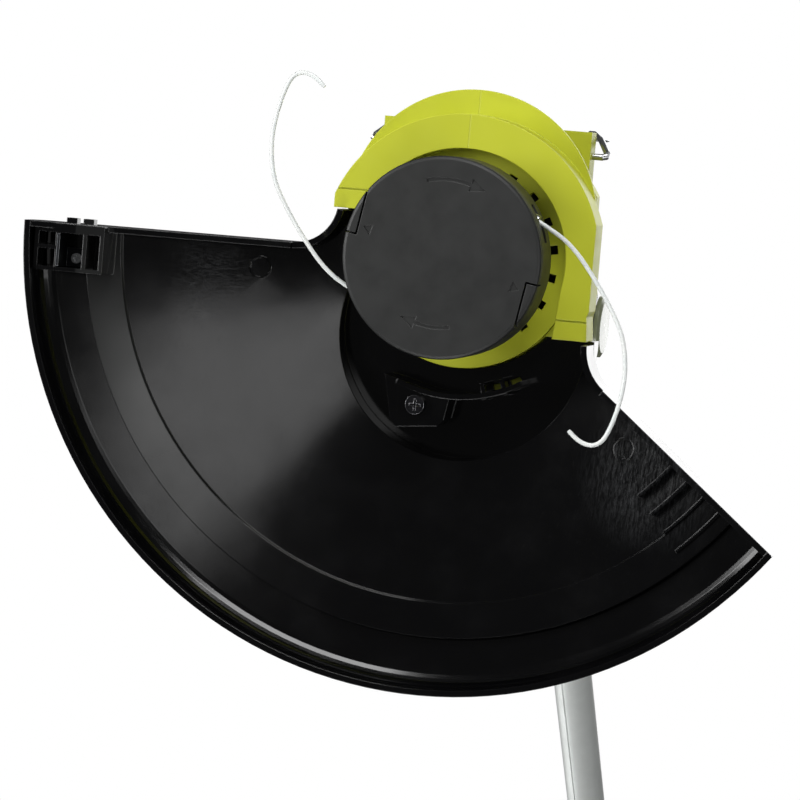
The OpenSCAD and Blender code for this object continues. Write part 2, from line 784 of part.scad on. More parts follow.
// The wire is stowed upright in front of the dome; each side goes from its ear in to the loop.
module edge_wire() {
    left = wire_side(-1);
    top = [[0, -9, 44 + wire_arm + wire_half_w]];
    back = [for (i = [len(left) - 1 : -1 : 0]) left[i]];
    color([0.78, 0.79, 0.8]) translate([0, wire_y, wire_z]) {
        for (s = [-1, 1])
            along_x(s > 0 ? ear_half_w - 11 : -wire_out + 2, s > 0 ? wire_out - 2 : 11 - ear_half_w,
                    wire_r);
        swept_line(concat(wire_side(1), top, back), wire_r + 0.02, 12);
    }
}

// ---------- shaft ----------

module lower_tube() {
    color([0.78, 0.8, 0.79]) on_shaft() difference() {
        translate([0, 0, tube_start]) cylinder(r = tube_r, h = tube_end - tube_start);
        translate([0, 0, tube_start - 1]) cylinder(r = tube_in_r, h = tube_end);
        // groove that keeps the tube from turning
        rotate([0, 0, 19]) translate([-0.7, tube_r - 0.5, sleeve_len + 3])
            cube([1.4, 2, tube_end - sleeve_len]);
    }
}

module tube_knuckle() {
    color([0.72, 0.77, 0.2]) on_shaft() difference() {
        union() {
            along_x(-knuckle_half, knuckle_half, cheek_r - 3, 96);
            translate([-knuckle_half, -14, 0]) cube([2 * knuckle_half, 28, 34]);
            translate([0, 0, 30]) cylinder(r = sleeve_r, h = sleeve_len - 30);
            translate([0, 0, sleeve_len - 6]) cylinder(r = sleeve_r + 1.6, h = 6);
        }
        along_x(-knuckle_half - 1, knuckle_half + 1, pin_r + fit_gap);
        translate([0, 0, tube_start]) cylinder(r = tube_r + 0.02, h = sleeve_len);
        translate([0, 0, 5]) cylinder(r = 5, h = 40);
        // notches for the tilt steps
        for (a = [60 : 15 : 180]) rotate([a + 90, 0, 0])
            translate([-6, cheek_r - 5, -1.2]) cube([12, 5, 2.4]);
        for (s = [-1, 1]) translate([0, 0, 44]) along_x(s > 0 ? 11.5 : -17, s > 0 ? 17 : -11.5, 2);
    }
}

module knuckle_screws() {
    color([0.7, 0.71, 0.73]) on_shaft(44) for (s = [0, 180]) rotate([0, 0, s])
        along_x(11.6, 16.4, 1.95, 32);
}

module lower_lead() {
    color([0.1, 0.1, 0.1]) on_shaft() translate([0, 0, 8]) cylinder(r = 3, h = tube_end - 30, $fn = 32);
}

module upper_tube() {
    color([0.12, 0.12, 0.13]) on_shaft(upper_start) ring(upper_r, upper_in_r, upper_len);
}

module collar_sleeve() {
    color([0.1, 0.1, 0.11]) on_shaft() difference() {
        union() {
            translate([0, 0, bare_tube + 2]) cylinder(r = upper_r + 1.5, h = 48);
            translate([0, 0, bare_tube + 38]) cylinder(r = lock_r - 1, h = 12);
        }
        translate([0, 0, bare_tube]) cylinder(r = tube_r + fit_gap, h = 60);
        translate([0, 0, upper_start]) cylinder(r = upper_r + 0.02, h = 60);
    }
    // guide bush fixed inside the upper tube
    color([0.1, 0.1, 0.11]) on_shaft(upper_start + 50)
        ring(upper_in_r - 0.02, tube_r + fit_gap, 20);
}

module lock_collar() {
    color([0.72, 0.77, 0.2]) on_shaft(bare_tube) difference() {
        union() {
            cylinder(r = lock_r - 2, h = 4);
            translate([0, 0, 3]) cylinder(r = lock_r, h = 34.5);
            for (i = [0 : 11]) rotate([0, 0, 30 * i])
                translate([lock_r - 1, -1.6, 6]) cube([2.2, 3.2, 28]);
        }
        translate([0, 0, -1]) cylinder(r = tube_r + 0.6, h = 60);
        translate([0, 0, 1.7]) cylinder(r = upper_r + 1.5 + fit_gap, h = 60);
    }
}

// ---------- auxiliary handle ----------

module clamp_lower() {
    color([0.12, 0.12, 0.13]) on_shaft(aux_w) difference() {
        intersection() {
            translate([0, 0, -18]) cylinder(r = upper_r + 6, h = 36);
            translate([-40, 0.25, -20]) cube([80, 40, 40]);
        }
        translate([0, 0, -30]) cylinder(r = upper_r + 0.02, h = 60);
        for (z = [-10, 10]) translate([0, 0, z]) clamp_screw_bores();
    }
}

module clamp_screw_bores() {
    for (s = [-1, 1]) translate([s * (upper_r + 3.4), 0, 0]) rotate([90, 0, 0]) {
        translate([0, 0, -40]) cylinder(r = 1.6, h = 60, $fn = 32);
        translate([0, 0, -40]) cylinder(r = 2.9, h = 34, $fn = 32);
    }
}

module clamp_upper() {
    color([0.12, 0.12, 0.13]) on_shaft(aux_w) difference() {
        union() {
            intersection() {
                translate([0, 0, -18]) cylinder(r = upper_r + 6, h = 36);
                translate([-40, -40.25, -20]) cube([80, 40, 40]);
            }
            translate([-16, aux_axis_y, -13]) cube([32, -aux_axis_y - 2, 26]);
            translate([0, aux_axis_y, 0]) along_x(-16, 16, 13);
        }
        translate([0, 0, -30]) cylinder(r = upper_r + 0.02, h = 60);
        for (z = [-10, 10]) translate([0, 0, z]) for (s = [-1, 1])
            translate([s * (upper_r + 3.4), 0, 0]) rotate([90, 0, 0])
                cylinder(r = 1.6, h = 9, $fn = 32);
        translate([0, aux_axis_y, 0]) along_x(-17, 17, 3 + fit_gap);
    }
}

module clamp_screws() {
    color([0.7, 0.71, 0.73]) on_shaft(aux_w) for (z = [-10, 10]) for (s = [-1, 1])
        translate([s * (upper_r + 3.4), 6, z]) rotate([90, 0, 0])
            up_screw(1.5, 14, 2.7, 2.2);
}

// The loop stands up from the shaft: two lugs, two arms and a rounded top.
module loop_frame() {
    translate([0, aux_axis_y, 0]) children();
}

module aux_handle() {
    span = loop_half_w + loop_r;
    color([0.1, 0.1, 0.11]) on_shaft(aux_w) loop_frame() difference() {
        union() {
            for (s = [-1, 1]) {
                along_x(s > 0 ? 16.3 : -27, s > 0 ? 27 : -16.3, 13);
                // short foot that joins the lug to the arm
                translate([s > 0 ? 17 : -span, loop_foot - 6, -7]) cube([span - 17, 12, 14]);
                translate([s > 0 ? 16.3 : -27, loop_foot - 6, -7]) cube([10.7, -loop_foot, 14]);
                translate([s * span, loop_foot, 0]) sphere(r = loop_r + 1, $fn = 48);
                translate([s * span, loop_foot, 0]) rotate([90, 0, 0])
                    cylinder(r = loop_r, h = loop_arm);
            }
            translate([0, loop_foot - loop_arm, 0]) rotate([180, 0, 0])
                rotate_extrude(angle = 180) translate([span, 0]) circle(r = loop_r, $fn = 48);
        }
        along_x(-30, 30, 3 + fit_gap);
    }
}

module aux_grip() {
    span = loop_half_w + loop_r;
    color([0.2, 0.2, 0.21]) on_shaft(aux_w) loop_frame()
        translate([0, loop_foot - loop_arm, 0]) rotate([180, 0, 0])
            rotate_extrude(angle = 110, start = 35)
            translate([span, 0]) difference() {
                circle(r = loop_r + 2.4, $fn = 48);
                circle(r = loop_r + 0.02, $fn = 48);
            }
}

module aux_bolt() {
    color([0.75, 0.76, 0.78]) on_shaft(aux_w) loop_frame() {
        along_x(-30, 36, 3);
        along_x(-33.4, -30, 6, 6);
    }
}

module aux_knob() {
    color([0.12, 0.12, 0.13]) on_shaft(aux_w) loop_frame() difference() {
        union() {
            along_x(27.3, 46, 12);
            for (i = [0 : 5]) rotate([60 * i, 0, 0])
                translate([31, 9, -4]) cube([13, 8, 8]);
        }
        along_x(27, 36.2, 3 + fit_gap);
    }
}

// ---------- rear handle ----------

module handle_skin(inset) {
    // nose that grips the upper tube
    hull() {
        translate([0, 0, handle_w + inset]) cylinder(r = grip_r + 2 - inset, h = 4, $fn = hull_fn);
        for (s = [-3, 3]) translate([s, 5, grip_w - 12]) sphere(r = grip_r + 4 - inset, $fn = hull_fn);
    }
    // grip
    hull() {
        for (s = [-2, 2]) translate([s, 3, grip_w - 6]) sphere(r = grip_r - inset, $fn = hull_fn);
        for (s = [-2, 2]) translate([s, 3, rear_w - 4]) sphere(r = grip_r - inset, $fn = hull_fn);
    }
    // rear block round the inlet
    hull() {
        for (s = [-3, 3]) translate([s, 2, rear_w + 8]) sphere(r = grip_r + 3 - inset, $fn = hull_fn);
        translate([0, 6, rear_w + 34]) cylinder(r = grip_r + 3 - inset, h = 20 - inset, $fn = hull_fn);
    }
}

module handle_shell() {
    on_shaft() difference() {
        union() {
            difference() {
                handle_skin(0);
                handle_skin(2.6);
                translate([0, 0, handle_w - 1]) cylinder(r = upper_r + 0.02, h = 60);
            }
            for (p = handle_screw_places) translate([0, p[0], p[1]]) along_x(p[2], -p[2], 4.2, 32);
            // collar inside the nose that seats on the tube
            translate([0, 0, handle_w + 6]) ring(upper_r + 4.4, upper_r + 0.02, 8);
            // seat of the lock-off button's spring
            translate([-grip_r, 3.2, grip_w - 5]) cube([2 * grip_r, 2, 14]);
            // bosses that hold the trigger pin
            translate([0, trigger_axis[0], trigger_axis[1]]) {
                along_x(-grip_r + 7, -6.8, 4);
                along_x(6.8, grip_r - 7, 4);
            }
        }
        // trigger opening
        translate([-6.5, 8, grip_w - 3]) cube([13, 40, 76]);
        // lock-off button
        translate([0, -5, grip_w + 2]) rotate([90, 0, 0]) cylinder(r = 6.35, h = 60);
        // inlet
        translate([0, 6, rear_w + 30]) cylinder(r = 15.55, h = 60);
        // trigger pin
        translate([0, trigger_axis[0], trigger_axis[1]])
            along_x(-grip_r + 4.5, grip_r - 4.5, 2.02, 32);
        for (p = handle_screw_places) translate([0, p[0], p[1]]) {
            along_x(-60, p[2], 3.6, 32);
            along_x(p[2] - 1, 10.2, 1.75, 32);
        }
    }
}

// Each handle screw: place across, place along the shaft, and the underside of its head.
handle_screw_places = [
    [-9, grip_w + 30, -13.5], [14, grip_w + 88, -13.5], [-10, rear_w + 22, -13.5]
];

module handle_left() {
    color([0.72, 0.77, 0.2]) intersection() {
        handle_shell();
        half_space(-1);
    }
}

module handle_right() {
    color([0.72, 0.77, 0.2]) intersection() {
        handle_shell();
        half_space(1);
    }
}

module handle_screws() {
    color([0.7, 0.71, 0.73]) on_shaft() for (p = handle_screw_places)
        translate([0, p[0], p[1]]) cross_screw(p[2], 10 - p[2], 1.7, 3.2, 2.2);
}

module trigger() {
    color([0.1, 0.1, 0.11]) on_shaft() translate([0, trigger_axis[0], trigger_axis[1]])
        rotate([0, 90, 0]) translate([0, 0, -6]) difference() {
            union() {
                cylinder(r = 5.5, h = 12);
                linear_extrude(12) polygon([
                    [2, -5.4], [-46, -4], [-50, 2], [-52, 9], [-46, 13], [-36, 11],
                    [-24, 14], [-10, 12], [3, 4.5]
                ]);
            }
            translate([0, 0, -1]) cylinder(r = 2 + fit_gap, h = 14);
        }
}

module trigger_pin() {
    color([0.75, 0.76, 0.78]) on_shaft() translate([0, trigger_axis[0], trigger_axis[1]])
        along_x(-grip_r + 5, grip_r - 5, 2, 32);
}

module trigger_spring() {
    color([0.7, 0.7, 0.72]) on_shaft() translate([0, trigger_axis[0] - 4.7, trigger_axis[1] + 44])
        rotate([90, 0, 0]) for (i = [0 : 4]) translate([0, 0, 2.03 * i])
            rotate_extrude() translate([3, 0]) circle(r = 0.5, $fn = 16);
}

module lock_off_button() {
    color([0.1, 0.1, 0.11]) on_shaft(grip_w + 2) rotate([90, 0, 0]) {
        translate([0, 0, 8]) cylinder(r = 6.3, h = 12);
        translate([0, 0, 8]) cylinder(r = 8.4, h = 2.4);
    }
}

module lock_off_spring() {
    color([0.7, 0.7, 0.72]) on_shaft(grip_w + 2) rotate([90, 0, 0]) for (i = [0 : 4])
        translate([0, 0, -2.4 + 2.4 * i]) rotate_extrude() translate([3, 0]) circle(r = 0.5, $fn = 16);
}

module switch_body() {
    color([0.15, 0.15, 0.16]) on_shaft() translate([-7, -10, grip_w + 36]) cube([14, 11.6, 34]);
}

module switch_plunger() {
    color([0.8, 0.8, 0.8]) on_shaft() translate([-2, 1.6, grip_w + 40]) cube([4, 3.6, 4]);
}

module cord_inlet() {
    color([0.08, 0.08, 0.09]) on_shaft() difference() {
        union() {
            translate([0, 6, rear_w + 30]) cylinder(r = 15.5, h = 28);
            translate([0, 6, rear_w + 54.2]) cylinder(r = 20, h = 4);
        }
        translate([0, 6, rear_w + 38]) cylinder(r = 12.5, h = 40);
        for (s = [-1, 1]) translate([s * 5 - 3.2, 5.2, rear_w + 29]) cube([6.4, 1.6, 12]);
    }
}

module inlet_pins() {
    color([0.8, 0.7, 0.45]) on_shaft() for (s = [-1, 1])
        translate([s * 5 - 3.2, 5.2, rear_w + 26]) cube([6.4, 1.6, 26]);
}

// The ring clips round the inlet; its arm holds the cord's loop and has the hanging hole.
module cord_hook() {
    color([0.08, 0.08, 0.09]) on_shaft(rear_w + 54) difference() {
        union() {
            translate([0, 6, 0.1]) cylinder(r = 24, h = 4.1);
            translate([-5, 26, 0.1]) cube([10, 24, 7]);
            translate([0, 54, 4.1]) along_x(-5, 5, 9);
        }
        translate([0, 6, -1]) cylinder(r = 20.02, h = 10);
        translate([0, 54, 4.1]) along_x(-6, 6, hang_r);
    }
}

// ---------- drawing ----------

spool_cap();
spool_drum();
line_eyelets();
line_spool();
wound_line();
feed_spring();
line_end_a();
line_end_b();
drive_hub();
motor_shaft();
armature();
commutator();
cooling_fan();
housing_left();
housing_right();
base_plate();
motor_stator();
motor_bracket();
carbon_brushes();
lower_bearing();
upper_bearing();
housing_screws();
guard();
guard_screw_m4();
line_cutter();
cutter_screw();
pivot_pin();
pivot_ring();
pivot_button();
button_spring();
edge_wire();
lower_tube();
tube_knuckle();
knuckle_screws();
lower_lead();
upper_tube();
collar_sleeve();
lock_collar();
clamp_lower();
clamp_upper();
clamp_screws();
aux_handle();
aux_grip();
aux_bolt();
aux_knob();
handle_left();
handle_right();
handle_screws();
trigger();
trigger_pin();
trigger_spring();
lock_off_button();
lock_off_spring();
switch_body();
switch_plunger();
cord_inlet();
inlet_pins();
cord_hook();
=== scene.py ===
"""String trimmer: materials, trimmer line, springs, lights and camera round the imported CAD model."""
import json
import math

import bpy
from mathutils import Matrix, Vector


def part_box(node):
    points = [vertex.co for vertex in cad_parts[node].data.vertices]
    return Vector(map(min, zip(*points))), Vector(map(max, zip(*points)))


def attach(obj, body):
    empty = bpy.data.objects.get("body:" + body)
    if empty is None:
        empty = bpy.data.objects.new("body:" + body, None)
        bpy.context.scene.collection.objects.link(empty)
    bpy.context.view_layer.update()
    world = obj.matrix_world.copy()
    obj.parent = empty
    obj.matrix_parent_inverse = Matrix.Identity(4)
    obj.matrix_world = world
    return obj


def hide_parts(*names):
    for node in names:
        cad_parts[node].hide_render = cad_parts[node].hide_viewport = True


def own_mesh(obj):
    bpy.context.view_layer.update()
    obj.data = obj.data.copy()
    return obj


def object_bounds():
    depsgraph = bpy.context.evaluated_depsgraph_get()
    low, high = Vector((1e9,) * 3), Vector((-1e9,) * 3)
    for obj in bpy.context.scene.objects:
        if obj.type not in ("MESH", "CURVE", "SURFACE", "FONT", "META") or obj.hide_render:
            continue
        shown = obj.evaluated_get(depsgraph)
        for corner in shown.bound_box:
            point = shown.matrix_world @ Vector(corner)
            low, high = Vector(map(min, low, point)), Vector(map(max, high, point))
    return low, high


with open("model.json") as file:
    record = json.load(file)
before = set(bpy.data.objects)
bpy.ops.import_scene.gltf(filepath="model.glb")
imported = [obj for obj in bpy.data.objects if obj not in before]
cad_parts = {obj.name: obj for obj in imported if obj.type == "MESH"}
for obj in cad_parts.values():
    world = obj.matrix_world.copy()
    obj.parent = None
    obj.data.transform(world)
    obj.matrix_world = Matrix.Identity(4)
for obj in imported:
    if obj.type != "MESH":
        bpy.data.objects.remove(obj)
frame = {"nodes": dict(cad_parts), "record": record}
cad_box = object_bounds()
nodes = frame["nodes"]
scene = bpy.context.scene

# The camera looks up at the cap from below, the way the trimmer is shown.
CAMERA_PLACE = Vector((0.3248, -0.0504, -1.4724))
CAMERA_RIGHT = Vector((0.96983, -0.08377, 0.22895))
CAMERA_UP = Vector((-0.09875, -0.99360, 0.05476))
SENSOR = 36.0   # width in mm
LENS = 153.8    # focal length in mm

LINE_RADIUS = 0.001
TIP_SHARE = 0.8   # the cut tip's share of the line's radius
LINE_ROUTE = [
    (0.0396, -0.0196, 0.014), (0.0452, -0.0166, 0.014), (0.051, -0.0132, 0.014),
    (0.0562, -0.009, 0.014), (0.0606, -0.0044, 0.0138), (0.065, 0.001, 0.0136),
    (0.0694, 0.0068, 0.0134), (0.0735, 0.0128, 0.0132), (0.0774, 0.019, 0.013),
    (0.0808, 0.0254, 0.0128), (0.083, 0.0322, 0.0126), (0.0842, 0.0396, 0.0124),
    (0.0844, 0.047, 0.0122), (0.0836, 0.0546, 0.012), (0.082, 0.062, 0.0118),
    (0.0798, 0.069, 0.0116), (0.0772, 0.074, 0.0114), (0.0736, 0.0764, 0.0112),
    (0.0696, 0.0762, 0.011), (0.0658, 0.0744, 0.0108), (0.0618, 0.071, 0.0106),
]

RIDGE = (0.156, 0.1715)   # inner and outer radius of the ridge under the guard's roof
SHAFT_DOWN = Vector((0, 1, -1)).normalized()   # from the shaft's axis to its underside


# ---------- camera ----------

def make_camera():
    data = bpy.data.cameras.new("camera")
    data.sensor_width = SENSOR
    data.lens = LENS
    data.clip_start, data.clip_end = 0.05, 60
    camera = bpy.data.objects.new("camera", data)
    scene.collection.objects.link(camera)
    right = CAMERA_RIGHT.normalized()
    back = right.cross(CAMERA_UP).normalized()
    up = back.cross(right)
    camera.matrix_world = Matrix.Translation(CAMERA_PLACE) @ Matrix((right, up, back)).transposed().to_4x4()
    scene.camera = camera


make_camera()


# ---------- trimmer line ----------


def make_line_end(name, node, points):
    """One free end of the line: a smooth curve whose tip is nipped thinner by the cutter."""
    data = bpy.data.curves.new(name, "CURVE")
    data.dimensions = "3D"
    data.bevel_depth = 1.0   # so that each point's radius is the line's real radius
    data.bevel_resolution = 5
    data.use_fill_caps = True
    data.resolution_u = 4
    spline = data.splines.new("POLY")
    spline.points.add(len(points) - 1)
    for target, point in zip(spline.points, points):
        target.co = (*point, 1)
        target.radius = LINE_RADIUS
    spline.points[-1].radius = TIP_SHARE * LINE_RADIUS
    line = bpy.data.objects.new(name, data)
    scene.collection.objects.link(line)
    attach(line, "spool")
    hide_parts(node)
    return line


def smoothed(points, cuts=3):
    """The same route with extra points on a smooth curve through the given ones."""
    fine = []
    for i in range(len(points) - 1):
        p0, p1, p2, p3 = (Vector(points[min(max(k, 0), len(points) - 1)]) for k in (i - 1, i, i + 1, i + 2))
        for step in range(cuts):
            t = step / cuts
            fine.append(0.5 * (2 * p1 + (p2 - p0) * t + (2 * p0 - 5 * p1 + 4 * p2 - p3) * t ** 2
                               + (3 * p1 - p0 - 3 * p2 + p3) * t ** 3))
    return fine + [Vector(points[-1])]


half_turn = Matrix.Rotation(math.pi, 3, "Z")
route = smoothed(LINE_ROUTE)
line_ends = [
    make_line_end("line_end_front", "line_end_a", [tuple(p) for p in route]),
    make_line_end("line_end_rear", "line_end_b", [tuple(half_turn @ p) for p in route]),
]


# ---------- springs ----------

def tube_mesh(name, points, radius, sides=8):
    """A round wire along the points, closed at both ends."""
    count = len(points)
    vertices, faces = [], []
    across = None
    for i, point in enumerate(points):
        ahead = (points[min(i + 1, count - 1)] - points[max(i - 1, 0)]).normalized()
        if across is None:
            across = ahead.orthogonal().normalized()
        across = (across - ahead * across.dot(ahead)).normalized()
        other = ahead.cross(across)
        for k in range(sides):
            a = 2 * math.pi * k / sides
            vertices.append(point + radius * (math.cos(a) * across + math.sin(a) * other))
    for i in range(count - 1):
        for k in range(sides):
            n = (k + 1) % sides
            faces.append((i * sides + k, i * sides + n, (i + 1) * sides + n, (i + 1) * sides + k))
    faces.append(tuple(reversed(range(sides))))
    faces.append(tuple((count - 1) * sides + k for k in range(sides)))
    mesh = bpy.data.meshes.new(name)
    mesh.from_pydata(vertices, [], faces)
    mesh.shade_smooth()
    return mesh


def make_spring(name, node, body, axis, length, radius, wire, turns, joint=None):
    """A coil spring with one closed turn at each end, centred on the CAD node it stands for.

    With a joint, it gets a mesh of its own.
    """
    low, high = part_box(node)
    axis = Vector(axis).normalized()
    side = axis.orthogonal().normalized()
    other = axis.cross(side)
    start = (low + high) / 2 - axis * (length / 2)
    total = turns + 2
    steps = 18 * total
    points = []
    for i in range(steps + 1):
        turn = total * i / steps
        climb = min(max((turn - 1) / turns, 0), 1) * (length - 4 * wire)
        climb += 2 * wire * (min(turn, 1) + max(turn - turns - 1, 0))
        a = 2 * math.pi * turn
        points.append(start + axis * climb + radius * (math.cos(a) * side + math.sin(a) * other))
    spring = bpy.data.objects.new(name, tube_mesh(name, points, wire))
    scene.collection.objects.link(spring)
    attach(spring, body)
    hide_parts(node)
    if joint:
        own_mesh(spring)
    return spring


springs = [
    make_spring("tilt_button_spring", "button_spring", "head", (1, 0, 0), 0.0076, 0.0054, 0.0006, 3,
                joint="button_press"),
    make_spring("bump_feed_spring", "feed_spring", "spool", (0, 0, 1), 0.0135, 0.0074, 0.00075, 4),
    make_spring("trigger_return_spring", "trigger_spring", "handle", SHAFT_DOWN, 0.0081, 0.003, 0.0005, 4,
                joint="trigger_pull"),
    make_spring("lock_button_spring", "lock_off_spring", "handle", SHAFT_DOWN, 0.0096, 0.003, 0.0005, 4,
                joint="lock_off_press"),
]


# ---------- materials ----------

class Finish:
    """One material, built up with short calls. Lengths are in metres, in the row frame."""

    def __init__(self, name):
        self.material = bpy.data.materials.new(name)
        self.material.use_nodes = True
        self.tree = self.material.node_tree
        self.shader = self.tree.nodes["Principled BSDF"]
        self.place = self.add("ShaderNodeTexCoord").outputs["Object"]

    def add(self, kind, **settings):
        node = self.tree.nodes.new(kind)
        for key, value in settings.items():
            setattr(node, key, value)
        return node

    def feed(self, socket, value):
        if isinstance(value, bpy.types.NodeSocket):
            self.tree.links.new(value, socket)
        else:
            socket.default_value = value

    def math(self, operation, a, b=0.0):
        node = self.add("ShaderNodeMath", operation=operation)
        self.feed(node.inputs[0], a)
        self.feed(node.inputs[1], b)
        return node.outputs[0]

    def stretched(self, factors, turn=(0, 0, 0)):
        node = self.add("ShaderNodeMapping")
        self.feed(node.inputs["Vector"], self.place)
        node.inputs["Rotation"].default_value = turn
        node.inputs["Scale"].default_value = factors
        return node.outputs[0]

    def noise(self, size, detail=3.0, roughness=0.55, place=None, distortion=0.0):
        """Noise from about 0.3 to 0.7 whose largest spots are about size metres wide."""
        node = self.add("ShaderNodeTexNoise")
        self.feed(node.inputs["Vector"], place or self.place)
        node.inputs["Scale"].default_value = 1 / size
        node.inputs["Detail"].default_value = detail
        node.inputs["Roughness"].default_value = roughness
        node.inputs["Distortion"].default_value = distortion
        return node.outputs["Fac"]

    def spread(self, value, low, high, to_low=0.0, to_high=1.0):
        node = self.add("ShaderNodeMapRange")
        for socket, number in zip(node.inputs[:5], (value, low, high, to_low, to_high)):
            self.feed(socket, number)
        return node.outputs[0]

    def blend(self, factor, a, b):
        node = self.add("ShaderNodeMix", data_type="RGBA")
        self.feed(node.inputs["Factor"], factor)
        for socket, value in ((node.inputs[6], a), (node.inputs[7], b)):
            self.feed(socket, (*value, 1) if isinstance(value, tuple) and len(value) == 3 else value)
        return node.outputs[2]

    def near(self, centre, radius, soft=0.5):
        """1 close to a point and 0 beyond radius."""
        node = self.add("ShaderNodeVectorMath", operation="DISTANCE")
        self.feed(node.inputs[0], self.place)
        node.inputs[1].default_value = centre
        return self.spread(node.outputs["Value"], radius * (1 - soft), radius, 1.0, 0.0)

    def rounded(self, radius):
        """Shading that rounds sharp edges."""
        node = self.add("ShaderNodeBevel", samples=6)
        node.inputs["Radius"].default_value = radius
        return node.outputs[0]

    def edges(self, rounded, low=0.02, high=0.25):
        """1 on sharp edges and 0 on smooth faces."""
        node = self.add("ShaderNodeVectorMath", operation="DOT_PRODUCT")
        self.feed(node.inputs[0], rounded)
        self.feed(node.inputs[1], self.add("ShaderNodeNewGeometry").outputs["Normal"])
        return self.spread(self.math("SUBTRACT", 1.0, node.outputs["Value"]), low, high)

    def bump(self, height, depth, normal=None):
        node = self.add("ShaderNodeBump")
        node.inputs["Distance"].default_value = depth
        self.feed(node.inputs["Height"], height)
        if normal is not None:
            self.feed(node.inputs["Normal"], normal)
        return node.outputs[0]

    def finish(self, colour, roughness, normal, metallic=0.0, **extra):
        self.feed(self.shader.inputs["Base Color"], (*colour, 1) if isinstance(colour, tuple) else colour)
        self.feed(self.shader.inputs["Roughness"], roughness)
        self.feed(self.shader.inputs["Normal"], normal)
        self.shader.inputs["Metallic"].default_value = metallic
        for name, value in extra.items():
            self.shader.inputs[name.replace("_", " ")].default_value = value
        return self.material


def moulded(name, colour, roughness, grain=0.0006, grain_depth=0.00002, mottle=0.06, wear=0.25,
            edge=0.0005, wave=0.0, **extra):
    """Injection-moulded plastic: spark-eroded grain, slow shrinkage waves and paler rubbed edges."""
    f = Finish(name)
    rounded = f.rounded(edge)
    slow = f.noise(0.05, detail=2)
    fine = f.noise(grain, detail=2)
    handled = f.noise(0.012, detail=5, roughness=0.65)
    darker = tuple(c * (1 - mottle) for c in colour)
    lighter = tuple(min(c * (1 + mottle) + 0.0015, 1) for c in colour)
    body = f.blend(f.spread(slow, 0.35, 0.65), darker, lighter)
    rubbed = f.math("MULTIPLY", f.edges(rounded), f.spread(handled, 0.4, 0.65, 0.2, 1.0))
    pale = tuple(min(c * 1.35 + 0.02, 1) for c in colour)
    body = f.blend(f.math("MULTIPLY", rubbed, wear), body, pale)
    gloss = f.math("ADD", f.spread(handled, 0.3, 0.7, roughness * 0.88, roughness * 1.12),
                   f.math("MULTIPLY", rubbed, -0.06))
    normal = f.bump(fine, grain_depth, rounded)
    if wave:
        normal = f.bump(f.noise(0.03, detail=1), wave, normal)
    return f.finish(body, gloss, normal, **extra)


def guard_black(name):
    """Glossy black guard: flow waves, wiping haze, fine scratches, two scuffed patches and a painted
    reflection on the ridge at the left.
    """
    f = Finish(name)
    rounded = f.rounded(0.0006)
    haze = f.noise(0.03, detail=4, roughness=0.6)
    flow = f.noise(0.05, detail=1, distortion=0.4)
    right_scuff = f.near((0.098, 0.088, 0.036), 0.038, 0.7)
    left_scuff = f.near((-0.115, 0.022, 0.04), 0.024, 0.6)
    along_right = f.stretched((1, 0.03, 1), (0, 0, math.radians(-18)))
    along_left = f.stretched((0.03, 1, 1), (0, 0, math.radians(6)))
    along_hairs = f.stretched((1, 0.02, 1), (0, 0, math.radians(32)))
    strokes_a = f.noise(0.0009, detail=4, roughness=0.75, place=along_right)
    strokes_b = f.noise(0.0009, detail=4, roughness=0.75, place=along_left)
    hairs = f.noise(0.0007, detail=2, roughness=0.8, place=along_hairs)
    scuffed = f.math("MAXIMUM",
                     f.math("MULTIPLY", right_scuff, f.spread(strokes_a, 0.42, 0.62)),
                     f.math("MULTIPLY", left_scuff, f.spread(strokes_b, 0.45, 0.62, 0, 0.7)))
    colour = f.blend(f.math("MULTIPLY", scuffed, 0.4), (0.0012, 0.0012, 0.0014), (0.042, 0.044, 0.047))
    around = f.add("ShaderNodeVectorMath", operation="MULTIPLY")
    f.feed(around.inputs[0], f.place)
    around.inputs[1].default_value = (1, 1, 0)
    out = f.add("ShaderNodeVectorMath", operation="LENGTH")
    f.feed(out.inputs[0], around.outputs[0])
    on_ridge = f.math("MULTIPLY", f.spread(out.outputs["Value"], RIDGE[0] - 0.0005, RIDGE[0]),
                      f.spread(out.outputs["Value"], RIDGE[1], RIDGE[1] + 0.0005, 1.0, 0.0))
    # Painted reflection: the ridge's flat face is painted lighter towards the left, standing in for a light
    # reflected there.
    ridge_painted_reflection = f.math("MULTIPLY", on_ridge, f.near((-0.15, 0.06, 0.035), 0.1, 0.8))
    colour = f.blend(f.math("MULTIPLY", ridge_painted_reflection, 0.5), colour, (0.040, 0.041, 0.040))
    colour = f.blend(f.math("MULTIPLY", f.edges(rounded), 0.25), colour, (0.02, 0.02, 0.022))
    colour = f.blend(f.math("MULTIPLY", f.spread(haze, 0.5, 0.75), 0.06), colour, (0.02, 0.02, 0.021))
    gloss = f.spread(haze, 0.35, 0.7, 0.10, 0.15)
    gloss = f.math("ADD", gloss, f.math("MULTIPLY", scuffed, 0.12))
    gloss = f.math("ADD", gloss, f.spread(hairs, 0.62, 0.72, 0.0, 0.06))
    normal = f.bump(flow, 0.00012, f.bump(f.noise(0.0008, detail=2), 0.000003, rounded))
    normal = f.bump(f.math("MULTIPLY", strokes_a, scuffed), 0.000003, normal)
    return f.finish(colour, gloss, normal, IOR=1.5)


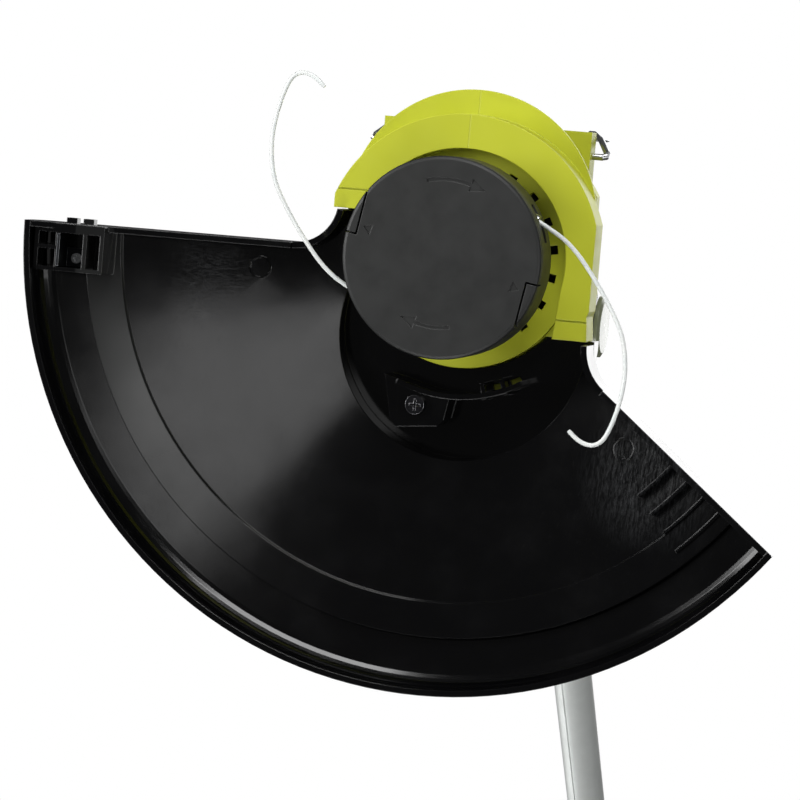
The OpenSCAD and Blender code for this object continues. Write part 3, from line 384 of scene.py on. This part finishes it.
def metal(name, colour, roughness, streak=(1, 1, 1), turn=(0, 0, 0), size=0.001, depth=0.000004, edge=0.0003,
          stain=0.12, shine=None, metallic=1.0):
    """Bare or plated metal with drawn or turned streaks, slight staining and brighter edges."""
    f = Finish(name)
    rounded = f.rounded(edge)
    lines = f.noise(size, detail=3, roughness=0.7, place=f.stretched(streak, turn))
    cloud = f.noise(0.015, detail=4)
    dull = tuple(c * (1 - stain) for c in colour)
    body = f.blend(f.spread(cloud, 0.35, 0.7), colour, dull)
    bright = shine or tuple(min(c * 1.2, 1) for c in colour)
    body = f.blend(f.math("MULTIPLY", f.edges(rounded), 0.9 if shine else 0.3), body, bright)
    gloss = f.math("ADD", f.spread(lines, 0.3, 0.7, roughness * 0.8, roughness * 1.2),
                   f.spread(cloud, 0.4, 0.7, 0.0, 0.05))
    return f.finish(body, gloss, f.bump(lines, depth, rounded), metallic=metallic)


def nylon(name):
    """Translucent extruded line: milky inside, glossy outside, with faint cloudiness."""
    f = Finish(name)
    cloud = f.noise(0.012, detail=3)
    scuffs = f.noise(0.003, detail=3)
    colour = f.blend(f.spread(cloud, 0.35, 0.65), (0.84, 0.88, 0.87), (0.92, 0.94, 0.92))
    return f.finish(colour, f.spread(scuffs, 0.3, 0.7, 0.2, 0.3), f.bump(scuffs, 0.00002),
                    Transmission_Weight=0.15, IOR=1.53)


def wound(name):
    """Line lying in even turns on the spool, with painted shade in the grooves between the turns."""
    f = Finish(name)
    wave = f.add("ShaderNodeTexWave", bands_direction="Z", wave_profile="SIN")
    f.feed(wave.inputs["Vector"], f.place)
    wave.inputs["Scale"].default_value = 1 / 0.002 / 2 * math.pi / 10
    wave.inputs["Distortion"].default_value = 0.6
    turns = wave.outputs["Fac"]
    cloud = f.noise(0.006, detail=3)
    # Painted shade: the line is painted darker in the grooves between its turns, and more so where the cloud
    # noise is low.
    shown = f.spread(f.math("MULTIPLY", turns, cloud), 0.05, 0.4)
    colour = f.blend(shown, (0.35, 0.37, 0.36), (0.85, 0.87, 0.84))
    return f.finish(colour, f.spread(cloud, 0.3, 0.7, 0.25, 0.4), f.bump(turns, 0.0008))


def laminated(name):
    """Stacked sheet iron, varnished."""
    f = Finish(name)
    wave = f.add("ShaderNodeTexWave", bands_direction="Z", wave_profile="SAW")
    f.feed(wave.inputs["Vector"], f.place)
    wave.inputs["Scale"].default_value = 320
    sheets = wave.outputs["Fac"]
    cloud = f.noise(0.008, detail=5)
    colour = f.blend(f.spread(sheets, 0.7, 1.0), (0.30, 0.29, 0.28), (0.08, 0.075, 0.07))
    colour = f.blend(f.spread(cloud, 0.5, 0.8, 0, 0.5), colour, (0.20, 0.10, 0.05))
    return f.finish(colour, f.spread(cloud, 0.3, 0.7, 0.35, 0.55), f.bump(sheets, 0.00006, f.rounded(0.0003)),
                    metallic=0.8)


def rubber(name, colour, roughness=0.7):
    """Soft overmould or cable sheath: dull, dusty in its hollows."""
    f = Finish(name)
    rounded = f.rounded(0.0006)
    dust = f.noise(0.004, detail=6, roughness=0.7)
    body = f.blend(f.spread(dust, 0.45, 0.75, 0, 0.5), colour, tuple(c * 1.6 + 0.006 for c in colour))
    normal = f.bump(f.noise(0.0009, detail=3), 0.00004, rounded)
    gloss = f.spread(dust, 0.3, 0.7, roughness - 0.08, roughness + 0.08)
    return f.finish(body, gloss, normal, Sheen_Weight=0.15)


lime = (0.53, 0.565, 0.030)
finishes = {
    "green_plastic": moulded("green_plastic", lime, 0.42, grain=0.0009, grain_depth=0.000012, mottle=0.035,
                             wear=0.35, edge=0.0007, wave=0.00015, IOR=1.46),
    "cap_plastic": moulded("cap_plastic", (0.0108, 0.0114, 0.0110), 0.5, grain=0.0007, grain_depth=0.00002,
                           mottle=0.1, wear=0.3, edge=0.0005),
    "black_plastic": guard_black("guard_black"),
    "dark_plastic": moulded("dark_plastic", (0.012, 0.012, 0.013), 0.45, grain=0.0007, grain_depth=0.00003,
                            mottle=0.1, wear=0.3, edge=0.0006),
    "soft_grip": rubber("soft_grip", (0.018, 0.018, 0.019)),
    "grey_plastic": moulded("grey_plastic", (0.20, 0.22, 0.14), 0.22, grain=0.001, grain_depth=0.000005,
                            mottle=0.04, wear=0.3, edge=0.0005),
    "green_ring": moulded("green_ring", (0.045, 0.085, 0.012), 0.3, mottle=0.06, wear=0.25, edge=0.0003),
    "tube_aluminium": metal("tube_aluminium", (0.80, 0.83, 0.81), 0.45, streak=(1, 1, 0.02),
                            turn=(math.radians(45), 0, 0), size=0.0012, stain=0.06, metallic=0.45),
    "upper_tube_paint": moulded("upper_tube_paint", (0.011, 0.011, 0.012), 0.35, grain=0.0011,
                                grain_depth=0.00003, mottle=0.08, wear=0.2, edge=0.0004),
    "steel": metal("steel", (0.60, 0.61, 0.62), 0.28, streak=(0.08, 1, 1), size=0.0006),
    "spring_steel": metal("spring_steel", (0.46, 0.46, 0.48), 0.3, size=0.0005),
    "core_iron": laminated("core_iron"),
    "copper": metal("copper", (0.80, 0.42, 0.26), 0.3, streak=(1, 1, 0.1), size=0.0006),
    "contact_brass": metal("contact_brass", (0.80, 0.62, 0.30), 0.25, size=0.0006),
    "nylon_line": nylon("nylon_line"),
    "line_spool_plastic": moulded("line_spool_plastic", (0.62, 0.16, 0.02), 0.4, mottle=0.05),
    "cable_rubber": rubber("cable_rubber", (0.012, 0.012, 0.012), 0.6),
}
wound_finish = wound("wound_line")
screw_finish = metal("blackened_screw", (0.045, 0.045, 0.05), 0.3, size=0.0008, shine=(0.6, 0.6, 0.62))
blade_finish = metal("worn_blade", (0.03, 0.031, 0.034), 0.4, streak=(1, 0.1, 1), size=0.0007,
                     shine=(0.5, 0.52, 0.54))


def paint(piece, material):
    piece.data.materials.clear()
    piece.data.materials.append(material)


for part in frame["record"]["subparts"]:
    paint(nodes[part["node"]], finishes[part["material_slot"]])
paint(nodes["wound_line"], wound_finish)
paint(nodes["guard_screw_m4"], screw_finish)
paint(nodes["line_cutter"], blade_finish)
for piece in springs:
    paint(piece, finishes["spring_steel"])
for piece in line_ends:
    paint(piece, finishes["nylon_line"])


# ---------- stage and light ----------

FLOOR_HALF = 20.0
FLOOR_DROP = 0.06   # below the lowest point of the trimmer


def make_floor():
    """A pale floor under the trimmer. It shows only from above, and leaves the light from below alone."""
    mesh = bpy.data.meshes.new("floor")
    corners = [(x * FLOOR_HALF, y * FLOOR_HALF, 0) for x, y in ((-1, -1), (1, -1), (1, 1), (-1, 1))]
    mesh.from_pydata(corners, [], [(0, 1, 2, 3)])
    floor = bpy.data.objects.new("floor", mesh)
    scene.collection.objects.link(floor)
    floor.location.z = cad_box[0].z - FLOOR_DROP
    floor.visible_diffuse = floor.visible_glossy = False
    floor.visible_transmission = floor.visible_shadow = False
    f = Finish("floor")
    cloud = f.noise(0.6, detail=3)
    pale = f.blend(f.spread(cloud, 0.3, 0.7), (0.80, 0.80, 0.79), (0.84, 0.84, 0.83))
    f.finish(pale, 0.8, f.bump(cloud, 0.0005), Emission_Strength=0.7)
    f.feed(f.shader.inputs["Emission Color"], pale)
    clear = f.add("ShaderNodeBsdfTransparent")
    switch = f.add("ShaderNodeMixShader")
    f.feed(switch.inputs[0], f.add("ShaderNodeNewGeometry").outputs["Backfacing"])
    f.feed(switch.inputs[1], f.shader.outputs[0])
    f.feed(switch.inputs[2], clear.outputs[0])
    f.feed(f.tree.nodes["Material Output"].inputs["Surface"], switch.outputs[0])
    mesh.materials.append(f.material)


def make_light(name, place, target, size, radiance):
    """A rectangular softbox whose brightness is set as radiance, so that its size changes only its reach."""
    width, height = size
    data = bpy.data.lights.new(name, "AREA")
    data.shape = "RECTANGLE"
    data.size, data.size_y = width, height
    data.energy = radiance * math.pi * width * height
    lamp = bpy.data.objects.new(name, data)
    scene.collection.objects.link(lamp)
    lamp.location = place
    lamp.rotation_euler = (Vector(target) - Vector(place)).to_track_quat("-Z", "Y").to_euler()
    lamp.visible_camera = False
    return lamp


def make_world(background, ambient):
    world = bpy.data.worlds.new("studio")
    world.use_nodes = True
    tree = world.node_tree
    shader = tree.nodes["Background"]
    shader.inputs["Color"].default_value = (1, 1, 1, 1)
    path = tree.nodes.new("ShaderNodeLightPath")
    level = tree.nodes.new("ShaderNodeMapRange")
    level.inputs["To Min"].default_value = ambient
    level.inputs["To Max"].default_value = background
    tree.links.new(path.outputs["Is Camera Ray"], level.inputs["Value"])
    tree.links.new(level.outputs[0], shader.inputs["Strength"])
    scene.world = world


make_floor()
make_world(background=1.0, ambient=0.055)
head = (0, 0.05, 0.05)
make_light("front_box", (0.12, -0.27, -1.4), (-0.09, 0.07, 0.04), (0.34, 0.28), 2.05)
make_light("left_box", (-1.5, -0.3, -1.0), head, (1.1, 1.1), 7.5)
make_light("right_box", (1.7, 0.3, -0.9), head, (1.1, 1.1), 3.0)
make_light("far_box", (0.2, -1.7, -0.9), head, (1.2, 0.9), 8.5)
make_light("near_box", (-0.2, 1.8, -0.9), head, (1.2, 0.9), 5.5)
make_light("top_box", (0.4, -0.6, 2.6), (0, 0.4, 0.4), (2.0, 2.0), 2.4)
make_light("back_box", (-1.6, 2.4, 1.8), (0, 0.5, 0.5), (1.6, 1.6), 2.0)

scene.view_settings.view_transform = "Standard"

bpy.context.view_layer.update()
